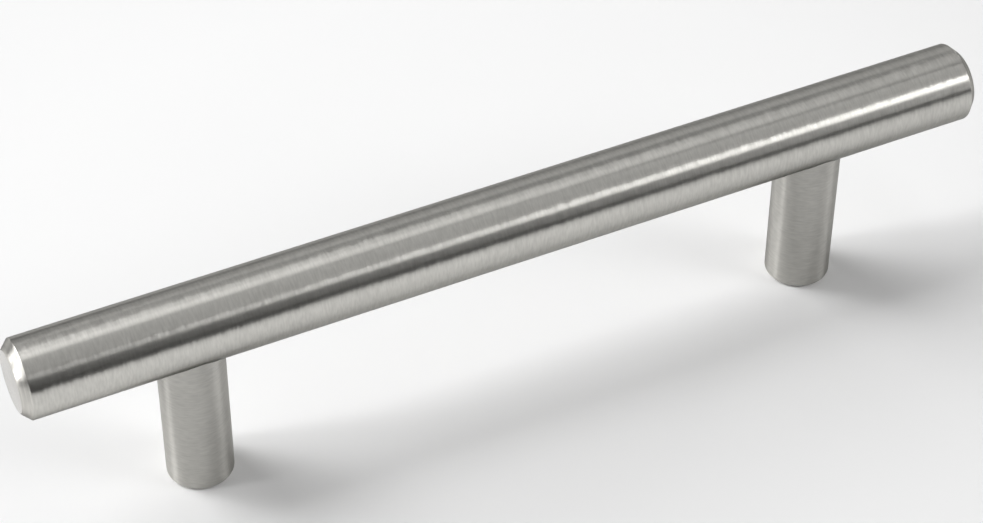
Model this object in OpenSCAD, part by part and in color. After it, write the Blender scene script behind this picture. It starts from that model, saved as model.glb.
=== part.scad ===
// T-bar cabinet pull: a turned round bar on two round posts.
// The bar lies along X. The posts stand on the mounting surface, Z = 0, and are screwed on from
// below it. The origin is midway between the two screw holes, on that surface.

/* [Bar] */
// Overall length of the bar
bar_length = 152; // [130:1:400]
// Diameter of the bar
bar_d = 12; // [11:0.5:20]
// Width of the 45 degree chamfer turned on each end of the bar
end_chamfer = 1.4; // [0.5:0.1:2.5]

/* [Posts] */
// Distance between the axes of the two posts, which is the screw spacing
hole_spacing = 100; // [64:1:128]
// Clear height for the fingers, from the mounting surface to the underside of the bar
finger_height = 23; // [22:0.5:40]
// Diameter of each post
post_d = 10; // [8:0.5:11]
// Width of the small chamfer round the foot of each post
foot_chamfer = 0.4; // [0.1:0.1:1]
// Gap between the saddle on top of a post and the bar that it carries
saddle_gap = 0.02; // [0.01:0.01:0.1]

/* [Screw holes] */
// Major diameter of the thread for the mounting screw
screw_d = 4; // [3:0.5:5]
// Pitch of that thread, which sets the size of the tapping drill
screw_pitch = 0.7; // [0.5:0.05:0.8]
// Depth of full thread, from the foot of the post
thread_depth = 10; // [6:0.5:11]
// Drilled depth beyond the last full thread
drill_runout = 2; // [0.5:0.5:3]
// Width of the countersink at the mouth of the hole
countersink = 0.3; // [0.1:0.1:0.8]

/* [Joining studs] */
// Major diameter of the stud that joins a post to the bar
stud_d = 5; // [4.5:0.5:6]
// Pitch of the stud's thread, which sets its end chamfer and the size of the tapping drill
stud_pitch = 0.8; // [0.5:0.05:1]
// Length of the stud that lies in the post
stud_in_post = 6; // [4:0.5:7]
// Length of the stud that lies in the bar
stud_in_bar = 6; // [4:0.5:7.5]
// Radial clearance between the stud and the two holes that it joins
stud_clearance = 0.05; // [0.02:0.01:0.15]
// Room left in each hole past the end of the stud
stud_end_room = 0.5; // [0.2:0.1:1]
// Distance across the flats of the hexagon socket in the lower end of the stud
socket_flats = 2.5; // [1.5:0.25:3]
// Depth of the hexagon socket
socket_depth = 3; // [1:0.5:4]

/* [Hidden] */
$fn = 96;

LEFT = -1;
RIGHT = 1;
BAR_FINISH = [0.74, 0.73, 0.71];
POST_FINISH = [0.68, 0.67, 0.65];
STUD_FINISH = [0.45, 0.46, 0.48];

// Half the 118 degree point of a twist drill
drill_half_angle = 59;
hexagon_sides = 6;
bar_r = bar_d / 2;
post_r = post_d / 2;
// Height of the bar's axis above the mounting surface
bar_axis_z = finger_height + bar_r;
screw_hole_r = screw_d / 2;
screw_drill_r = (screw_d - screw_pitch) / 2;
stud_r = stud_d / 2;
stud_hole_r = stud_r + stud_clearance;
stud_drill_r = (stud_d - stud_pitch) / 2;
// The stud's end chamfers run down to the root of its thread
stud_chamfer = stud_pitch / 2;
stud_length = stud_in_post + stud_in_bar;
// A hexagon's corners lie further out than its flats
socket_r = socket_flats / 2 / cos(180 / hexagon_sides);
// How far a cutting shape reaches out of the face that it cuts
overcut = bar_r / 4;

// A turned rod that stands on Z = 0, with a 45 degree chamfer round both ends.
module turned_rod(radius, length, chamfer) {
    rotate_extrude()
        polygon([
            [0, 0],
            [radius - chamfer, 0],
            [radius, chamfer],
            [radius, length - chamfer],
            [radius - chamfer, length],
            [0, length]
        ]);
}

// A blind tapped hole that enters at Z = 0 and goes up. Its wall lies at the thread's major
// diameter for the tapped depth, then at the drill's diameter, and ends in the drill's point.
module tapped_hole(wall_r, drill_r, tapped, drilled) {
    translate([0, 0, -overcut])
        cylinder(r = wall_r, h = tapped + overcut);
    cylinder(r = drill_r, h = drilled);
    translate([0, 0, drilled])
        cylinder(r1 = drill_r, r2 = 0, h = drill_r / tan(drill_half_angle));
}

// The bar's outline as a cylinder along X, wider all round by a gap.
module bar_outline(gap) {
    translate([-bar_length / 2, 0, bar_axis_z])
        rotate([0, 90, 0])
            cylinder(r = bar_r + gap, h = bar_length);
}

// The hole for a stud, entering at Z = 0 and going up, as deep as the stud's length in it.
module stud_hole(length) {
    depth = length + stud_end_room;
    tapped_hole(stud_hole_r, stud_drill_r, depth, depth);
}

// Places its children at the joint between a post and the underside of the bar.
module at_joint(side) {
    translate([side * hole_spacing / 2, 0, finger_height])
        children();
}

module bar() {
    color(BAR_FINISH)
        difference() {
            translate([-bar_length / 2, 0, bar_axis_z])
                rotate([0, 90, 0])
                    turned_rod(bar_r, bar_length, end_chamfer);
            for (side = [LEFT, RIGHT])
                at_joint(side)
                    stud_hole(stud_in_bar);
        }
}

// The post is cut from a rod that reaches up to the bar's axis, and the bar's own outline cuts
// the saddle. What lies above the saddle, with the rod's upper chamfer, goes with that cut.
module post(side) {
    color(POST_FINISH)
        difference() {
            translate([side * hole_spacing / 2, 0, 0])
                difference() {
                    turned_rod(post_r, bar_axis_z, foot_chamfer);
                    screw_hole();
                }
            bar_outline(saddle_gap);
            at_joint(side)
                mirror([0, 0, 1])
                    stud_hole(stud_in_post);
        }
}

// The mounting screw's tapped hole in the foot of a post, with its countersunk mouth.
module screw_hole() {
    tapped_hole(screw_hole_r, screw_drill_r, thread_depth, thread_depth + drill_runout);
    translate([0, 0, -overcut])
        cylinder(
            r1 = screw_hole_r + countersink + overcut,
            r2 = screw_hole_r,
            h = countersink + overcut
        );
}

// A headless set screw, driven by the hexagon socket in its lower end.
module stud(side) {
    color(STUD_FINISH)
        at_joint(side)
            translate([0, 0, -stud_in_post])
                difference() {
                    turned_rod(stud_r, stud_length, stud_chamfer);
                    translate([0, 0, -overcut])
                        cylinder(r = socket_r, h = socket_depth + overcut, $fn = hexagon_sides);
                }
}

bar();
post(LEFT);  // left_post
post(RIGHT);  // right_post
stud(LEFT);  // left_stud
stud(RIGHT);  // right_stud
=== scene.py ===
"""Looks of a t-bar cabinet pull: a turned and brushed steel bar, carried across two round posts.

The bar lies along X. The posts stand on the mounting surface, Z = 0, and the origin is midway
between their screw holes. Everything is in metres.
"""

import logging
import math
from dataclasses import dataclass
from enum import Enum, IntEnum

import bmesh
import bpy
from mathutils import Matrix, Vector


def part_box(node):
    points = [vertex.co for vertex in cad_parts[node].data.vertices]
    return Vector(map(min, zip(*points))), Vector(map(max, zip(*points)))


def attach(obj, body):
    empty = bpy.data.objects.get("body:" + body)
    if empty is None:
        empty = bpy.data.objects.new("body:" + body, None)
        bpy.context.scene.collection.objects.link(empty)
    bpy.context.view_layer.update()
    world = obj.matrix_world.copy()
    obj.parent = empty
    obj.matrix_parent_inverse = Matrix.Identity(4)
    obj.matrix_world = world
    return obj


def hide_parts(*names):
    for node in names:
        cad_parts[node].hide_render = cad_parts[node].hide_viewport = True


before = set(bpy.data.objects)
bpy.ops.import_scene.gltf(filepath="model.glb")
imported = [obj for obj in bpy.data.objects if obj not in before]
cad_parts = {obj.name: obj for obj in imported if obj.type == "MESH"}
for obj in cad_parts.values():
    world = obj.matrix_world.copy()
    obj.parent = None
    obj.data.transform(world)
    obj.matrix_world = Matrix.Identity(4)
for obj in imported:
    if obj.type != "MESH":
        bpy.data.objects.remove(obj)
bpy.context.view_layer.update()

MM = 0.001
BODY = "root"
# Vertices nearer to each other than this are the same point of a turned piece
SAME_POINT = 0.0001 * MM
# A vertex this near to a corner of a profile was turned from it
AT_CORNER = 10 * SAME_POINT
# How many strips round off a broken edge
EDGE_STRIPS = 4
# Edges that fold by more than this are crisp, and the rest are shaded smoothly
CRISP_ANGLE = math.radians(40)
# Half the 118 degree point of a twist drill
DRILL_HALF_ANGLE = math.radians(59)
# A face of a rod is its wall's where less of the normal than the first lies along the axis, and
# its end's where more than the second does
WALL_LEAN, END_LEAN = 0.2, 0.9
# A little less and a little more than a size, to tell the faces on either side of it apart
INSIDE, OUTSIDE = 0.98, 1.02
# Blender's noise lies between these nearly everywhere
NOISE_SPAN = (0.3, 0.7)
# So far off, the noise has nothing to do with the noise at the place itself
ELSEWHERE = Vector((7.3, 3.1, 5.7))

log = logging.getLogger("t_bar_pull")

Colour = tuple[float, float, float]
Span = tuple[float, float]
Corner = tuple[float, float]
Profile = list[Corner]


class Side(Enum):
    """Left or right, by the sign of its X."""

    LEFT = -1
    RIGHT = 1

    @property
    def word(self) -> str:
        """The side's name as the pieces have it."""
        return self.name.lower()


class Lay(Enum):
    """The axis that a turned piece is symmetrical about."""

    ALONG_BAR = (1.0, 0.0, 0.0)
    ALONG_POST = (0.0, 0.0, 1.0)

    @property
    def axis(self) -> Vector:
        """The axis as a vector."""
        return Vector(self.value)

    @property
    def across(self) -> Vector:
        """One where a coordinate runs across the axis, and zero along it."""
        return Vector((1.0, 1.0, 1.0)) - self.axis


class BarFace(IntEnum):
    """What a face of the bar belongs to, by the number of its material."""

    WALL = 0
    CHAMFER = 1
    END = 2
    HOLE = 3


class PostFace(IntEnum):
    """What a face of a post belongs to, by the number of its material."""

    WALL = 0
    FOOT = 1
    HOLE = 2


class NodeBoard:
    """A node tree that is being wired, of a material or the world."""

    def __init__(self, tree: bpy.types.NodeTree) -> None:
        """Takes a tree and clears it."""
        tree.nodes.clear()
        self.tree = tree

    def add(
        self, kind: str, inputs: dict[str | int, object] | None = None, **settings: object
    ) -> bpy.types.Node:
        """Adds a node.

        Args:
            kind: The node's type.
            inputs: For each input, a value to set on it or an output to link to it.
            **settings: The node's own properties.

        Returns:
            The new node.
        """
        node = self.tree.nodes.new(kind)
        for name, value in settings.items():
            setattr(node, name, value)
        for key, value in (inputs or {}).items():
            if isinstance(value, bpy.types.NodeSocket):
                self.tree.links.new(value, node.inputs[key])
            else:
                node.inputs[key].default_value = value
        return node

    def number(self, operation: str, *values: object) -> bpy.types.NodeSocket:
        """Adds a Math node and returns its result."""
        inputs = dict(enumerate(values))
        return self.add("ShaderNodeMath", inputs, operation=operation).outputs["Value"]

    def vector(self, operation: str, *values: object) -> bpy.types.NodeSocket:
        """Adds a Vector Math node and returns its vector."""
        inputs = dict(enumerate(values))
        return self.add("ShaderNodeVectorMath", inputs, operation=operation).outputs["Vector"]

    def length(self, value: bpy.types.NodeSocket) -> bpy.types.NodeSocket:
        """Returns the length of a vector."""
        node = self.add("ShaderNodeVectorMath", {0: value}, operation="LENGTH")
        return node.outputs["Value"]

    def scaled(
        self, value: bpy.types.NodeSocket | Vector, by: bpy.types.NodeSocket | float
    ) -> bpy.types.NodeSocket:
        """Returns a vector times a number."""
        node = self.add("ShaderNodeVectorMath", {0: value, "Scale": by}, operation="SCALE")
        return node.outputs["Vector"]

    def spread(
        self, value: bpy.types.NodeSocket, source: Span, target: Span
    ) -> bpy.types.NodeSocket:
        """Spreads a range of numbers over another, and holds what lies past it at its ends.

        Args:
            value: The number.
            source: The range that it is taken from.
            target: The range that the result lies in.

        Returns:
            The result.
        """
        keys = ("From Min", "From Max", "To Min", "To Max")
        inputs = {"Value": value, **dict(zip(keys, (*source, *target)))}
        return self.add("ShaderNodeMapRange", inputs, clamp=True).outputs["Result"]

    def place(self) -> bpy.types.NodeSocket:
        """Returns the place on the piece, in the object's own coordinates."""
        return self.add("ShaderNodeTexCoord").outputs["Object"]

    def facing(self) -> bpy.types.NodeSocket:
        """Returns the surface's normal."""
        return self.add("ShaderNodeNewGeometry").outputs["Normal"]

    def noise(
        self, where: bpy.types.NodeSocket, swing: float, detail: float = 2.0, rough: float = 0.6
    ) -> bpy.types.NodeSocket:
        """Adds noise that swings about zero.

        Args:
            where: The vector that the noise is read at.
            swing: How far it goes to either side of zero at most.
            detail: How many finer layers it has.
            rough: How strong each finer layer is against the one before.

        Returns:
            The noise.
        """
        noise = self.add(
            "ShaderNodeTexNoise",
            {"Vector": where, "Scale": 1.0, "Detail": detail, "Roughness": rough},
        )
        return self.spread(noise.outputs["Fac"], NOISE_SPAN, (-swing, swing))

    def direction(self, local: bpy.types.NodeSocket | Vector) -> bpy.types.NodeSocket:
        """Turns a direction of the piece's own into the world's."""
        return self.add(
            "ShaderNodeVectorTransform",
            {"Vector": local},
            vector_type="VECTOR",
            convert_from="OBJECT",
            convert_to="WORLD",
        ).outputs["Vector"]


def new_material(name: str) -> tuple[bpy.types.Material, NodeBoard]:
    """Makes an empty material.

    Args:
        name: The material's name.

    Returns:
        The material, and the board to wire it on.
    """
    material = bpy.data.materials.new(name)
    material.use_nodes = True
    return material, NodeBoard(material.node_tree)


@dataclass(frozen=True)
class Steel:
    """Bare stainless steel, with the gloss that a finishing step gave it."""

    colour: Colour
    roughness: float
    anisotropy: float
    # How much of a glancing reflection is left, as a share: partly the scratches' own dimming,
    # and partly painted shade for the darker floor that glancing reflections see behind the pull
    glancing_scratch_and_shade: float = 1.0

    def shade(
        self,
        board: NodeBoard,
        tone: bpy.types.NodeSocket,
        roughness: bpy.types.NodeSocket,
        tangent: bpy.types.NodeSocket,
        normal: bpy.types.NodeSocket | None = None,
    ) -> None:
        """Wires the steel's shader to the output.

        Args:
            board: The material's board.
            tone: How much lighter or darker than the colour a place is, about zero.
            roughness: How much rougher or smoother a place is, about zero.
            tangent: The direction that the highlights are drawn out in.
            normal: The surface's normal, where the finish changes it.
        """
        inputs = {
            "Base Color": board.scaled(Vector(self.colour), board.number("ADD", tone, 1.0)),
            "Metallic": 1.0,
            "Roughness": board.number("ADD", roughness, self.roughness),
            "Anisotropic": self.anisotropy,
            "Specular Tint": (self.glancing_scratch_and_shade, self.glancing_scratch_and_shade, self.glancing_scratch_and_shade, 1.0),
            "Tangent": tangent,
        }
        if normal is not None:
            inputs["Normal"] = normal
        shader = board.add("ShaderNodeBsdfPrincipled", inputs)
        board.add("ShaderNodeOutputMaterial", {"Surface": shader.outputs["BSDF"]})


@dataclass(frozen=True)
class BrushedWall:
    """The wall of a rod brushed while it turned, so that fine lines run round it."""

    name: str
    lay: Lay
    steel: Steel
    # How far each thing goes to either side of its mean at most
    fine_tone: float = 0.066
    coarse_tone: float = 0.03
    band_tone: float = 0.02
    line_roughness: float = 0.02
    lean_round: float = 0.016
    lean_along: float = 0.03
    # How many times noise repeats in a metre along the rod, and round it
    fine_lines: float = 3200.0
    coarse_lines: float = 1200.0
    bands: float = 110.0
    short_dashes: float = 650.0
    long_dashes: float = 220.0
    band_ends: float = 90.0

    def lines(self, board: NodeBoard, along: float, around: float) -> bpy.types.NodeSocket:
        """Returns coordinates in which noise makes lines, so often along the rod and round it."""
        scale = self.lay.axis * along + self.lay.across * around
        return board.vector("MULTIPLY", board.place(), scale)

    def leaned(self, board: NodeBoard, fine: bpy.types.NodeSocket) -> bpy.types.NodeSocket:
        """Leans the surface a little from line to line, as brushing leaves it.

        Args:
            board: The material's board.
            fine: The coordinates of the fine lines.

        Returns:
            The surface's normal.
        """
        axis, facing = board.direction(self.lay.axis), board.facing()
        round_it = board.vector("CROSS_PRODUCT", axis, facing)
        elsewhere = board.vector("ADD", fine, ELSEWHERE)
        lean = board.vector(
            "ADD",
            board.scaled(round_it, board.noise(fine, self.lean_round, detail=1.0)),
            board.scaled(axis, board.noise(elsewhere, self.lean_along, detail=1.0)),
        )
        return board.vector("NORMALIZE", board.vector("ADD", facing, lean))

    def material(self) -> bpy.types.Material:
        """Makes the finish's material.

        Returns:
            The material.
        """
        material, board = new_material(self.name)
        fine = self.lines(board, self.fine_lines, self.short_dashes)
        coarse = self.lines(board, self.coarse_lines, self.long_dashes)
        bands = self.lines(board, self.bands, self.band_ends)
        tone = board.number(
            "ADD",
            board.noise(fine, self.fine_tone, detail=1.0),
            board.noise(coarse, self.coarse_tone, rough=0.7),
        )
        tone = board.number("ADD", tone, board.noise(bands, self.band_tone))
        roughness = board.noise(coarse, self.line_roughness, detail=3.0, rough=0.8)
        tangent = board.direction(self.lay.axis)
        self.steel.shade(board, tone, roughness, tangent, self.leaned(board, fine))
        return material


@dataclass(frozen=True)
class TurnedFace:
    """A face or chamfer cut on a lathe, with marks that run in circles round its axis."""

    name: str
    lay: Lay
    centre: Vector
    steel: Steel
    # How far each thing goes to either side of its mean at most
    mark_tone: float = 0.03
    mark_roughness: float = 0.03
    # How many times noise repeats in a metre outwards, and across the face
    marks: float = 2800.0
    mark_ends: float = 160.0

    def material(self) -> bpy.types.Material:
        """Makes the finish's material.

        Returns:
            The material.
        """
        material, board = new_material(self.name)
        from_centre = board.vector("SUBTRACT", board.place(), self.centre)
        outwards = board.vector("MULTIPLY", from_centre, self.lay.across)
        ring = board.number("MULTIPLY", board.length(outwards), self.marks)
        rings = board.vector(
            "ADD", board.scaled(outwards, self.mark_ends), board.scaled(self.lay.axis, ring)
        )
        tone = board.noise(rings, self.mark_tone)
        roughness = board.noise(rings, self.mark_roughness)
        self.steel.shade(board, tone, roughness, board.direction(outwards))
        return material


@dataclass(frozen=True)
class CutHole:
    """The wall of a drilled and tapped hole, left as the tap cut it, with a little oil on it."""

    name: str
    steel: Steel
    smear_tone: float = 0.25
    # How far the smears change the roughness, as a share of how far they change the tone
    smear_share: float = 1 / 3
    # How many times noise repeats in a metre
    smears: float = 900.0

    def material(self) -> bpy.types.Material:
        """Makes the finish's material.

        Returns:
            The material.
        """
        material, board = new_material(self.name)
        where = board.scaled(board.place(), self.smears)
        tone = board.noise(where, self.smear_tone, detail=4.0)
        roughness = board.noise(where, self.smear_tone * self.smear_share)
        self.steel.shade(board, tone, roughness, board.direction(Lay.ALONG_POST.axis))
        return material


BAR_STEEL = Steel((0.590, 0.580, 0.547), roughness=0.30, anisotropy=0.90, glancing_scratch_and_shade=0.35)
# The posts' steel is darker than the bar's: painted shade, for the darker surroundings that the
# posts reflect
SHADED_POST_STEEL = Steel((0.511, 0.502, 0.473), roughness=0.34, anisotropy=0.90, glancing_scratch_and_shade=0.50)
# The chamfer's steel is darker than the end face's: painted shade, for the darker floor that the
# chamfer reflects
SHADED_CHAMFER_STEEL = Steel((0.600, 0.588, 0.552), roughness=0.30, anisotropy=0.50, glancing_scratch_and_shade=0.35)
FACED_STEEL = Steel((0.697, 0.681, 0.649), roughness=0.24, anisotropy=0.50, glancing_scratch_and_shade=0.90)
TAPPED_STEEL = Steel((0.420, 0.410, 0.400), roughness=0.42, anisotropy=0.30)
STUD_STEEL = Steel((0.340, 0.340, 0.350), roughness=0.38, anisotropy=0.30)


def spun(profile: Profile, centre: Vector, lay: Lay, steps: int) -> bmesh.types.BMesh:
    """Turns a profile round an axis, as a lathe does.

    Args:
        profile: Each corner's distance from the axis and its place along it.
        centre: A point of the axis, which the places along it are counted from.
        lay: Which way the axis lies.
        steps: How many steps the full turn has.

    Returns:
        The turned mesh, closed where the profile ends on the axis.
    """
    outwards = Vector((0.0, 1.0, 0.0)) if lay is Lay.ALONG_BAR else Vector((1.0, 0.0, 0.0))
    bm = bmesh.new()
    corners = [bm.verts.new(centre + outwards * r + lay.axis * along) for r, along in profile]
    edges = [bm.edges.new(pair) for pair in zip(corners, corners[1:])]
    bmesh.ops.spin(
        bm,
        geom=corners + edges,
        cent=centre,
        axis=lay.axis,
        angle=math.tau,
        steps=steps,
        use_merge=True,
    )
    bmesh.ops.remove_doubles(bm, verts=bm.verts, dist=SAME_POINT)
    bmesh.ops.recalc_face_normals(bm, faces=bm.faces)
    return bm


def from_axis(point: Vector, centre: Vector, lay: Lay) -> Corner:
    """Gives a point as a turned profile does.

    Args:
        point: The point.
        centre: The point of the axis that places along it are counted from.
        lay: Which way the axis lies.

    Returns:
        The distance from the axis, and the place along it.
    """
    offset = point - centre
    along = offset.dot(lay.axis)
    return (offset - lay.axis * along).length, along


def round_off(
    bm: bmesh.types.BMesh, corners: Profile, centre: Vector, lay: Lay, width: float
) -> None:
    """Breaks the edges that some corners of a turned profile make.

    Args:
        bm: The turned mesh.
        corners: The corners.
        centre: The point of the axis that places along it are counted from.
        lay: Which way the axis lies.
        width: How wide the broken edge is.
    """

    def is_at(vert: bmesh.types.BMVert, corner: Corner) -> bool:
        """Whether a vertex came from a corner."""
        r, along = from_axis(vert.co, centre, lay)
        return abs(r - corner[0]) < AT_CORNER and abs(along - corner[1]) < AT_CORNER

    for corner in corners:
        ring = {v for v in bm.verts if is_at(v, corner)}
        edges = [e for e in bm.edges if e.verts[0] in ring and e.verts[1] in ring]
        bmesh.ops.bevel(
            bm,
            geom=edges,
            offset=width,
            offset_type="OFFSET",
            segments=EDGE_STRIPS,
            profile=0.5,
            affect="EDGES",
            material=-1,
        )


def tapped_profile(wall_r: float, drill_r: float, tapped: float, drilled: float) -> Profile:
    """Gives a blind tapped hole's profile, from its mouth at 0 to the point of the drill.

    Args:
        wall_r: The radius of the tapped wall.
        drill_r: The radius of the drill.
        tapped: The depth of the tapped wall.
        drilled: The depth of the drilled wall.

    Returns:
        The hole's corners, with its depth as a positive number.
    """
    point = (0.0, drilled + drill_r / math.tan(DRILL_HALF_ANGLE))
    step = [] if math.isclose(tapped, drilled) else [(drill_r, tapped)]
    return [(wall_r, 0.0), (wall_r, tapped), *step, (drill_r, drilled), point]


def new_object(name: str, data: bpy.types.ID) -> bpy.types.Object:
    """Adds an object to the scene, at the origin.

    Args:
        name: The object's name.
        data: Its mesh, lamp or lens.

    Returns:
        The object.
    """
    item = bpy.data.objects.new(name, data)
    bpy.context.scene.collection.objects.link(item)
    return item


def new_piece(
    name: str, bm: bmesh.types.BMesh, materials: list[bpy.types.Material]
) -> bpy.types.Object:
    """Makes an object of a mesh, at the origin.

    Args:
        name: The object's name.
        bm: The mesh, which is freed.
        materials: The materials that its faces name by number.

    Returns:
        The object.
    """
    mesh = bpy.data.meshes.new(name)
    bm.to_mesh(mesh)
    bm.free()
    for material in materials:
        mesh.materials.append(material)
    return new_object(name, mesh)


def bake_modifiers(piece: bpy.types.Object) -> None:
    """Puts what a piece's modifiers make into its own mesh.

    Args:
        piece: The piece.
    """
    graph = bpy.context.evaluated_depsgraph_get()
    made = bpy.data.meshes.new_from_object(piece.evaluated_get(graph))
    piece.modifiers.clear()
    old, piece.data = piece.data, made
    bpy.data.meshes.remove(old)
    made.name = piece.name


def cut_out(piece: bpy.types.Object, tool: bpy.types.Object) -> None:
    """Cuts a closed shape out of a piece, and removes the shape.

    Args:
        piece: The piece to cut.
        tool: The closed shape.
    """
    cut = piece.modifiers.new("cut", "BOOLEAN")
    cut.operation = "DIFFERENCE"
    cut.solver = "EXACT"
    cut.object = tool
    bake_modifiers(piece)
    shape = tool.data
    bpy.data.objects.remove(tool)
    bpy.data.meshes.remove(shape)


def smooth_shading(piece: bpy.types.Object) -> None:
    """Shades a piece smoothly between its crisp edges, with its large faces kept flat.

    Args:
        piece: The piece.
    """
    piece.data.polygons.foreach_set("use_smooth", [True] * len(piece.data.polygons))
    piece.data.set_sharp_from_angle(angle=CRISP_ANGLE)
    weigh = piece.modifiers.new("weigh", "WEIGHTED_NORMAL")
    weigh.mode = "FACE_AREA"
    weigh.keep_sharp = True
    bake_modifiers(piece)


def finish_piece(piece: bpy.types.Object, slot: str, *stands_for: str) -> bpy.types.Object:
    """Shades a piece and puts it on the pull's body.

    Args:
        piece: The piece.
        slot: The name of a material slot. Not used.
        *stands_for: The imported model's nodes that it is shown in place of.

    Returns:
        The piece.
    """
    smooth_shading(piece)
    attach(piece, BODY)
    if stands_for:
        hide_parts(*stands_for)
    return piece


@dataclass
class JoiningStud:
    """The headless screw, hidden in the joint, that holds a post to the bar."""

    side: Side
    spacing: float
    joint_height: float
    radius: float = 2.5 * MM
    pitch: float = 0.8 * MM
    in_post: float = 6.0 * MM
    in_bar: float = 6.0 * MM
    clearance: float = 0.05 * MM
    end_room: float = 0.5 * MM

    @property
    def joint(self) -> Vector:
        """The middle of the joint, under the bar."""
        return Vector((self.side.value * self.spacing / 2, 0.0, self.joint_height))

    def hole(self, length: float) -> Profile:
        """Gives the profile of one of the stud's two holes, from the joint inwards.

        Args:
            length: How much of the stud lies in the hole.

        Returns:
            The hole's corners, with its depth as a positive number.
        """
        depth = length + self.end_room
        drill_r = self.radius - self.pitch / 2
        return tapped_profile(self.radius + self.clearance, drill_r, depth, depth)

    def dress(self) -> bpy.types.Object:
        """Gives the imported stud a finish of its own.

        Returns:
            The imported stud.
        """
        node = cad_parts[f"{self.side.word}_stud"]
        node.data.materials.clear()
        node.data.materials.append(CutHole(f"{self.side.word}_stud_black", STUD_STEEL).material())
        return node


@dataclass
class HandleBar:
    """The bar that the hand closes on, chamfered at both ends and brushed round its wall."""

    length: float
    radius: float
    height: float
    end_chamfer: float = 1.4 * MM
    # How wide the edges are broken, where the chamfer meets the wall and where it meets the end
    broken_edge: float = 0.04 * MM
    rounded_edge: float = 0.36 * MM
    steps: int = 256
    hole_steps: int = 64
    # The wall has a ring of edges on each side of a stud's hole, where the post hides it
    ring_beside_hole: float = 4.2 * MM

    @property
    def centre(self) -> Vector:
        """The middle of the bar's axis."""
        return Vector((0.0, 0.0, self.height))

    def turned(self) -> bmesh.types.BMesh:
        """Turns the chamfered rod.

        Returns:
            The rod's mesh.
        """
        half, flat_r = self.length / 2, self.radius - self.end_chamfer
        corners = [(flat_r, -half), (self.radius, -half + self.end_chamfer)]
        corners += [(r, -along) for r, along in reversed(corners)]
        profile = [(0.0, -half), *corners, (0.0, half)]
        bm = spun(profile, self.centre, Lay.ALONG_BAR, self.steps)
        # The first and the last corner lie on the ends, and the two between them on the wall
        round_off(bm, corners[::3], self.centre, Lay.ALONG_BAR, self.rounded_edge)
        round_off(bm, corners[1:3], self.centre, Lay.ALONG_BAR, self.broken_edge)
        for face in bm.faces:
            lean = abs(face.normal.x)
            if lean < WALL_LEAN:
                face.material_index = BarFace.WALL
            else:
                face.material_index = BarFace.CHAMFER if lean < END_LEAN else BarFace.END
        return bm

    def ring(self, bm: bmesh.types.BMesh, x: float) -> None:
        """Cuts a ring of edges round the rod at a place along it."""
        geom = [*bm.verts, *bm.edges, *bm.faces]
        bmesh.ops.bisect_plane(bm, geom=geom, plane_co=(x, 0.0, 0.0), plane_no=(1.0, 0.0, 0.0))

    def stud_drill(self, stud: JoiningStud) -> bmesh.types.BMesh:
        """Makes the shape that cuts a stud's hole, which reaches out of the wall.

        Args:
            stud: The stud.

        Returns:
            The shape, with its faces numbered as the hole's.
        """
        mouth, *inner = stud.hole(stud.in_bar)
        overcut = self.radius / 4
        hole = [(0.0, -overcut), (mouth[0], -overcut), *inner]
        bm = spun(hole, stud.joint, Lay.ALONG_POST, self.hole_steps)
        for face in bm.faces:
            face.material_index = BarFace.HOLE
        return bm

    def finishes(self) -> list[bpy.types.Material]:
        """Makes the bar's materials.

        Returns:
            One for each kind of BarFace, in its order.
        """
        chamfer = TurnedFace(
            "bar_chamfer_turned",
            Lay.ALONG_BAR,
            self.centre,
            SHADED_CHAMFER_STEEL,
            mark_tone=0.20,
            mark_roughness=0.01,
        )
        return [
            BrushedWall("bar_wall_brushed", Lay.ALONG_BAR, BAR_STEEL).material(),
            chamfer.material(),
            TurnedFace("bar_end_faced", Lay.ALONG_BAR, self.centre, FACED_STEEL).material(),
            CutHole("bar_hole_tapped", TAPPED_STEEL).material(),
        ]

    def build(self, studs: list[JoiningStud]) -> bpy.types.Object:
        """Builds the bar.

        Args:
            studs: The studs that hold the posts to it.

        Returns:
            The bar.
        """
        bm = self.turned()
        for stud in studs:
            for side in Side:
                self.ring(bm, stud.joint.x + side.value * self.ring_beside_hole)
        finishes = self.finishes()
        bar = new_piece("bar_rod", bm, finishes)
        for stud in studs:
            cut_out(bar, new_piece("stud_drill", self.stud_drill(stud), finishes))
        return finish_piece(bar, "bar_steel", "bar")


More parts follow.
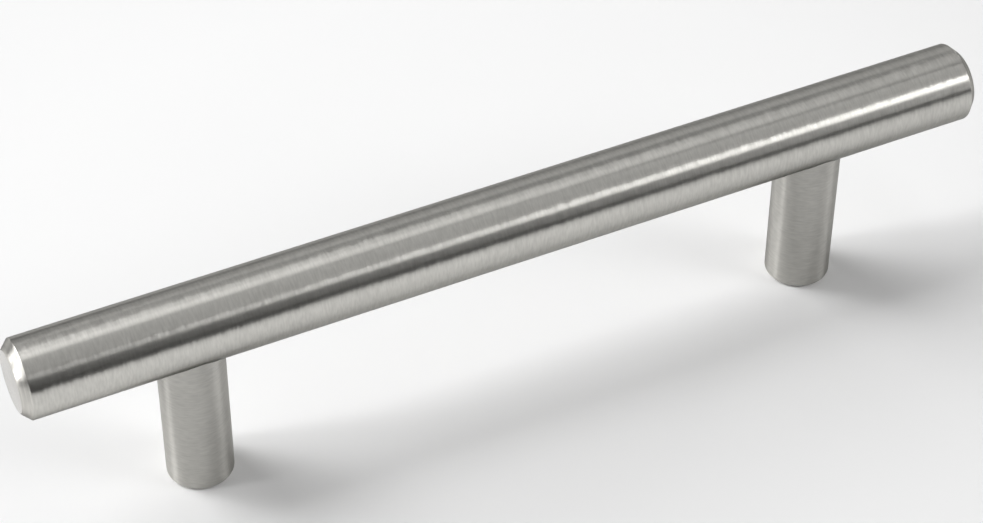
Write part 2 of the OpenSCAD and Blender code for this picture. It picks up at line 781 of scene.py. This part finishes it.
@dataclass
class Post:
    """A round post, with a screw hole in its foot and a saddle on top that fits the bar."""

    side: Side
    spacing: float
    radius: float
    bar: HandleBar
    stud: JoiningStud
    foot_chamfer: float = 0.4 * MM
    saddle_gap: float = 0.02 * MM
    broken_edge: float = 0.06 * MM
    screw_r: float = 2.0 * MM
    screw_pitch: float = 0.7 * MM
    thread_depth: float = 10.0 * MM
    drill_runout: float = 2.0 * MM
    countersink: float = 0.3 * MM
    steps: int = 192
    saddle_rings: int = 8
    thread_steps: int = 40
    # How far the foot of the thread's ridge is sunk into the wall
    ridge_sunk: float = 0.03 * MM
    # Half the ridge's width at its foot and at its crest, as shares of the pitch
    ridge_foot: float = 0.44
    ridge_crest: float = 0.07
    # How long the ridge takes to run out, as a share of the pitch, and how much of it is left
    ridge_run: float = 0.75
    ridge_left: float = 0.04

    @property
    def foot(self) -> Vector:
        """The middle of the post's foot."""
        return Vector((self.side.value * self.spacing / 2, 0.0, 0.0))

    @property
    def drill_r(self) -> float:
        """The radius of the tapping drill for the mounting screw."""
        return self.screw_r - self.screw_pitch / 2

    def saddle_height(self, y: float) -> float:
        """Returns how high the saddle lies at a place across the bar."""
        reach = self.bar.radius + self.saddle_gap
        return self.bar.height - math.sqrt(reach * reach - y * y)

    def turned(self) -> bmesh.types.BMesh:
        """Turns the post with its two holes, and shapes its top to the bar.

        Returns:
            The post's mesh.
        """
        drilled = self.thread_depth + self.drill_runout
        screw_hole = tapped_profile(self.screw_r, self.drill_r, self.thread_depth, drilled)
        screw_hole[0] = (self.screw_r, self.countersink)
        mouth = (self.screw_r + self.countersink, 0.0)
        heel = [(self.radius - self.foot_chamfer, 0.0), (self.radius, self.foot_chamfer)]
        # The top is turned flat, at the height of the joint's highest corners, and then let down
        flat = self.saddle_height(self.radius)
        depths = self.stud.hole(self.stud.in_post)
        stud_hole = [(r, self.stud.joint.z - depth) for r, depth in depths]
        hole_r = stud_hole[0][0]
        top = [
            (self.radius + (hole_r - self.radius) * i / self.saddle_rings, flat)
            for i in range(self.saddle_rings + 1)
        ]
        profile = [*reversed(screw_hole), mouth, *heel, *top, *stud_hole[1:]]
        bm = spun(profile, self.foot, Lay.ALONG_POST, self.steps)
        round_off(bm, [mouth, *heel], self.foot, Lay.ALONG_POST, self.broken_edge)
        for vert in bm.verts:
            if abs(vert.co.z - flat) < SAME_POINT:
                vert.co.z = self.saddle_height(vert.co.y)
        bm.normal_update()
        for face in bm.faces:
            face.material_index = self.belongs_to(face)
        return bm

    def belongs_to(self, face: bmesh.types.BMFace) -> PostFace:
        """Tells what a face belongs to.

        Args:
            face: A face of the turned post.

        Returns:
            The wall, the foot, or a hole. The saddle counts as part of the stud's hole.
        """
        r, along = from_axis(face.calc_center_median(), self.foot, Lay.ALONG_POST)
        if r >= self.screw_r * OUTSIDE and along < self.foot_chamfer * INSIDE:
            return PostFace.FOOT
        if r > self.radius * INSIDE and abs(face.normal.z) < WALL_LEAN:
            return PostFace.WALL
        return PostFace.HOLE

    def build(self) -> bpy.types.Object:
        """Builds the post.

        Returns:
            The post.
        """
        word = self.side.word
        foot = TurnedFace(f"{word}_foot_turned", Lay.ALONG_POST, self.foot, FACED_STEEL)
        # In the order of PostFace
        finishes = [
            BrushedWall(f"{word}_post_brushed", Lay.ALONG_POST, SHADED_POST_STEEL).material(),
            foot.material(),
            CutHole(f"{word}_hole_tapped", TAPPED_STEEL).material(),
        ]
        post = new_piece(f"{word}_post_rod", self.turned(), finishes)
        return finish_piece(post, "post_steel", f"{word}_post")

    def build_thread(self) -> bpy.types.Object:
        """Builds the ridge of the screw hole's thread, which climbs from the mouth inwards.

        Returns:
            The ridge.
        """
        crest, root = self.drill_r, self.screw_r + self.ridge_sunk
        wide, narrow = self.screw_pitch * self.ridge_foot, self.screw_pitch * self.ridge_crest
        low = self.countersink + wide
        turns = math.floor((self.thread_depth - low - wide) / self.screw_pitch)
        bm = bmesh.new()
        section = [(root, -wide), (crest, -narrow), (crest, narrow), (root, wide)]
        corners = [
            bm.verts.new(self.foot + Vector((r, 0.0, low + along))) for r, along in section
        ]
        edges = [bm.edges.new(pair) for pair in zip(corners, corners[1:] + corners[:1])]
        bmesh.ops.spin(
            bm,
            geom=corners + edges,
            cent=self.foot,
            axis=Lay.ALONG_POST.axis,
            dvec=(0.0, 0.0, self.screw_pitch / self.thread_steps),
            angle=math.tau * turns,
            steps=self.thread_steps * turns,
        )
        for vert in bm.verts:
            self.taper(vert, low, low + turns * self.screw_pitch, root)
        bmesh.ops.holes_fill(bm, edges=[e for e in bm.edges if e.is_boundary])
        bmesh.ops.recalc_face_normals(bm, faces=bm.faces)
        hole = CutHole(f"{self.side.word}_thread_cut", TAPPED_STEEL)
        thread = new_piece(f"{self.side.word}_post_thread", bm, [hole.material()])
        return finish_piece(thread, "post_steel")

    def taper(self, vert: bmesh.types.BMVert, low: float, high: float, root: float) -> None:
        """Lets the ridge run out into the wall at both ends of the thread.

        Args:
            vert: The vertex to move.
            low: Where the ridge's middle starts.
            high: Where it ends.
            root: The radius of the ridge's foot, inside the wall.
        """
        r, along = from_axis(vert.co, self.foot, Lay.ALONG_POST)
        run = self.screw_pitch * self.ridge_run
        left = min(1.0, max(self.ridge_left, min(along - low, high - along) / run))
        out = (vert.co - self.foot) * Lay.ALONG_POST.across
        vert.co += out.normalized() * (root - r) * (1.0 - left)


def stand_off(aim: Vector, right: Vector, back: Vector, distance: float) -> Matrix:
    """Gives the place of a lamp or a camera that faces a point.

    Args:
        aim: The point.
        right: The direction of its right side.
        back: The direction from the point to it.
        distance: How far away it stands.

    Returns:
        Its matrix in the world.
    """
    turn = Matrix((right, back.cross(right), back)).transposed().to_4x4()
    return Matrix.Translation(aim + back * distance) @ turn


@dataclass(frozen=True)
class Softbox:
    """A rectangular studio lamp behind white cloth, which faces the pull.

    Its bearing is in degrees: aside is the angle from the bar's right end, and over goes round
    the bar, from 0 in front through 90 overhead and 180 behind to 270 beneath.
    """

    name: str
    aside: float
    over: float
    # How much of the pull's surroundings it fills, in degrees, either way
    wide: float
    high: float
    glow: float
    distance: float = 1.5

    def light(self, aim: Vector) -> None:
        """Hangs the lamp.

        Args:
            aim: What it faces.
        """
        aside, over = math.radians(self.aside), math.radians(self.over)
        across = Vector((0.0, -math.cos(over), math.sin(over)))
        back = Vector((math.cos(aside), 0.0, 0.0)) + across * math.sin(aside)
        right = Vector((math.sin(aside), 0.0, 0.0)) - across * math.cos(aside)
        lamp = bpy.data.lights.new(self.name, "AREA")
        lamp.shape = "RECTANGLE"
        lamp.size = 2 * self.distance * math.tan(math.radians(self.wide) / 2)
        lamp.size_y = 2 * self.distance * math.tan(math.radians(self.high) / 2)
        lamp.energy = self.glow * lamp.size * lamp.size_y * math.pi
        light = new_object(self.name, lamp)
        light.matrix_world = stand_off(aim, right, back, self.distance)
        light.visible_camera = False


@dataclass(frozen=True)
class Camera:
    """The camera, at the photograph's viewing angle."""

    azimuth: float = -25.361
    elevation: float = 43.801
    roll: float = 0.243
    distance: float = 440.225 * MM
    aim: tuple[float, float, float] = (-2.789 * MM, 0.282 * MM, 22.020 * MM)
    lens: float = 110.018
    sensor: float = 36.0
    nearest: float = 10 * MM
    furthest: float = 20.0

    def place(self) -> None:
        """Makes the camera, and makes it the scene's."""
        lens = bpy.data.cameras.new("camera")
        lens.sensor_fit = "HORIZONTAL"
        lens.sensor_width, lens.lens = self.sensor, self.lens
        lens.clip_start, lens.clip_end = self.nearest, self.furthest
        a, e, r = (math.radians(x) for x in (self.azimuth, self.elevation, self.roll))
        back = Vector((math.sin(a) * math.cos(e), -math.cos(a) * math.cos(e), math.sin(e)))
        level = Vector((math.cos(a), math.sin(a), 0.0))
        right = level * math.cos(r) + back.cross(level) * math.sin(r)
        camera = new_object("camera", lens)
        camera.matrix_world = stand_off(Vector(self.aim), right, back, self.distance)
        bpy.context.scene.camera = camera


@dataclass(frozen=True)
class Studio:
    """A pale floor in a dim room, with soft lamps."""

    screw_spacing: float
    floor_colour: Colour = (0.90, 0.90, 0.90)
    floor_radius: float = 2.5
    floor_steps: int = 96
    # The feet's faces lie just under the floor, so that they are seen from below
    floor_height: float = 0.02 * MM
    # The floor is open under each screw hole, so that light gets into it from below
    opening_r: float = 2.6 * MM
    # The floor's colour is palest round the pull and dims to a share of it further out: a painted
    # pool of light, with painted shade beyond it
    painted_pool_radius: float = 0.09
    painted_shade_radius: float = 0.70
    painted_shade_share: float = 0.40
    room_colour: Colour = (0.02, 0.02, 0.02)
    # Each has a name, how far aside and over it hangs, how wide and high it is, and its glow
    lamps: tuple[Softbox, ...] = (
        Softbox("front_low", 35, 26.25, 20.0, 30.1, 3.57),
        Softbox("back_spot", 35, 147.5, 20.0, 8.6, 4.09),
        Softbox("front_edge", 50, 42.5, 20.0, 13.0, 4.41, distance=1.45),
        Softbox("front_strip", 52.5, 60, 15.0, 47.6, 1.21),
        Softbox("back_fill", 67.5, 160, 45.0, 34.0, 0.496),
        Softbox("top_fill", 82.5, 106.5, 45.0, 29.7, 0.476),
        Softbox("top_strip", 82.5, 79.2, 15.0, 53.4, 1.17, distance=1.45),
        Softbox("overhead", 120, 127.5, 30.0, 47.3, 3.9),
        Softbox("left_key", 142.5, 108.5, 15.0, 8.5, 21),
        Softbox("back_key", 127.5, 130, 15.0, 22.2, 6.63, distance=1.45),
        Softbox("left_back", 144, 167.5, 12.0, 15.2, 2.68),
        Softbox("left_side", 157.5, 112.5, 15.0, 51.7, 1.27),
        Softbox("left_low", 172.5, 157, 15.0, 5.9, 20.4),
        Softbox("under_fill", 80, 260, 60.0, 60.0, 0.9),
    )

    def floor_material(self) -> bpy.types.Material:
        """Makes the floor's material, which is clear from below and under the screw holes.

        Returns:
            The material.
        """
        material, board = new_material("studio_floor")
        from_pull = board.length(board.place())
        # Painted light: the floor's colour falls off away from the pull
        painted_falloff = board.spread(
            from_pull, (self.painted_pool_radius, self.painted_shade_radius), (1.0, self.painted_shade_share)
        )
        colour = board.scaled(Vector(self.floor_colour), painted_falloff)
        matt = board.add("ShaderNodeBsdfDiffuse", {"Color": colour})
        clear = board.add("ShaderNodeBsdfTransparent")
        # The two screw holes mirror each other, so one comparison finds both
        mirrored = board.vector("ABSOLUTE", board.place())
        screw = Vector((self.screw_spacing / 2, 0.0, 0.0))
        from_screw = board.length(board.vector("SUBTRACT", mirrored, screw))
        is_open = board.number("LESS_THAN", from_screw, self.opening_r)
        below = board.add("ShaderNodeNewGeometry").outputs["Backfacing"]
        unseen = board.number("MAXIMUM", is_open, below)
        one_sided = board.add(
            "ShaderNodeMixShader", {0: unseen, 1: matt.outputs["BSDF"], 2: clear.outputs["BSDF"]}
        )
        board.add("ShaderNodeOutputMaterial", {"Surface": one_sided.outputs["Shader"]})
        return material

    def lay_floor(self) -> None:
        """Lays the floor."""
        bm = bmesh.new()
        bmesh.ops.create_circle(
            bm,
            cap_ends=True,
            segments=self.floor_steps,
            radius=self.floor_radius,
            matrix=Matrix.Translation((0.0, 0.0, self.floor_height)),
        )
        for face in bm.faces:
            if face.normal.z < 0:
                face.normal_flip()
        floor = new_piece("studio_floor", bm, [self.floor_material()])

    def paint_room(self) -> None:
        """Makes the room, which is dim and even."""
        world = bpy.data.worlds.new("studio_room")
        world.use_nodes = True
        board = NodeBoard(world.node_tree)
        grey = board.add("ShaderNodeBackground", {"Color": (*self.room_colour, 1.0)})
        board.add("ShaderNodeOutputWorld", {"Surface": grey.outputs["Background"]})
        bpy.context.scene.world = world

    def light(self, aim: Vector) -> None:
        """Sets up the floor, the room and the lamps.

        Args:
            aim: What the lamps face.
        """
        bpy.context.scene.view_settings.view_transform = "Standard"
        self.lay_floor()
        self.paint_room()
        for lamp in self.lamps:
            lamp.light(aim)


def report(*pieces: bpy.types.Object) -> None:
    """Reports each piece that is done."""
    for piece in pieces:
        log.info("%s: %d faces", piece.name, len(piece.data.polygons))


def main() -> None:
    """Builds the pull piece by piece, and then the studio round it."""
    logging.basicConfig(level=logging.INFO, format="%(message)s")
    bar_low, bar_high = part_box("bar")
    post_low, post_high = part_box("right_post")
    post_r = (post_high.y - post_low.y) / 2
    # The post's axis is half the spacing away from the middle
    spacing = post_low.x + post_high.x
    bar = HandleBar(
        length=bar_high.x - bar_low.x,
        radius=(bar_high.y - bar_low.y) / 2,
        height=(bar_high.z + bar_low.z) / 2,
    )
    studs = [JoiningStud(side, spacing, bar_low.z) for side in Side]
    report(bar.build(studs))
    for stud in studs:
        post = Post(stud.side, spacing, post_r, bar, stud)
        report(post.build(), post.build_thread(), stud.dress())
    Studio(spacing).light(bar.centre)
    Camera().place()


if __name__ == "__main__":
    main()
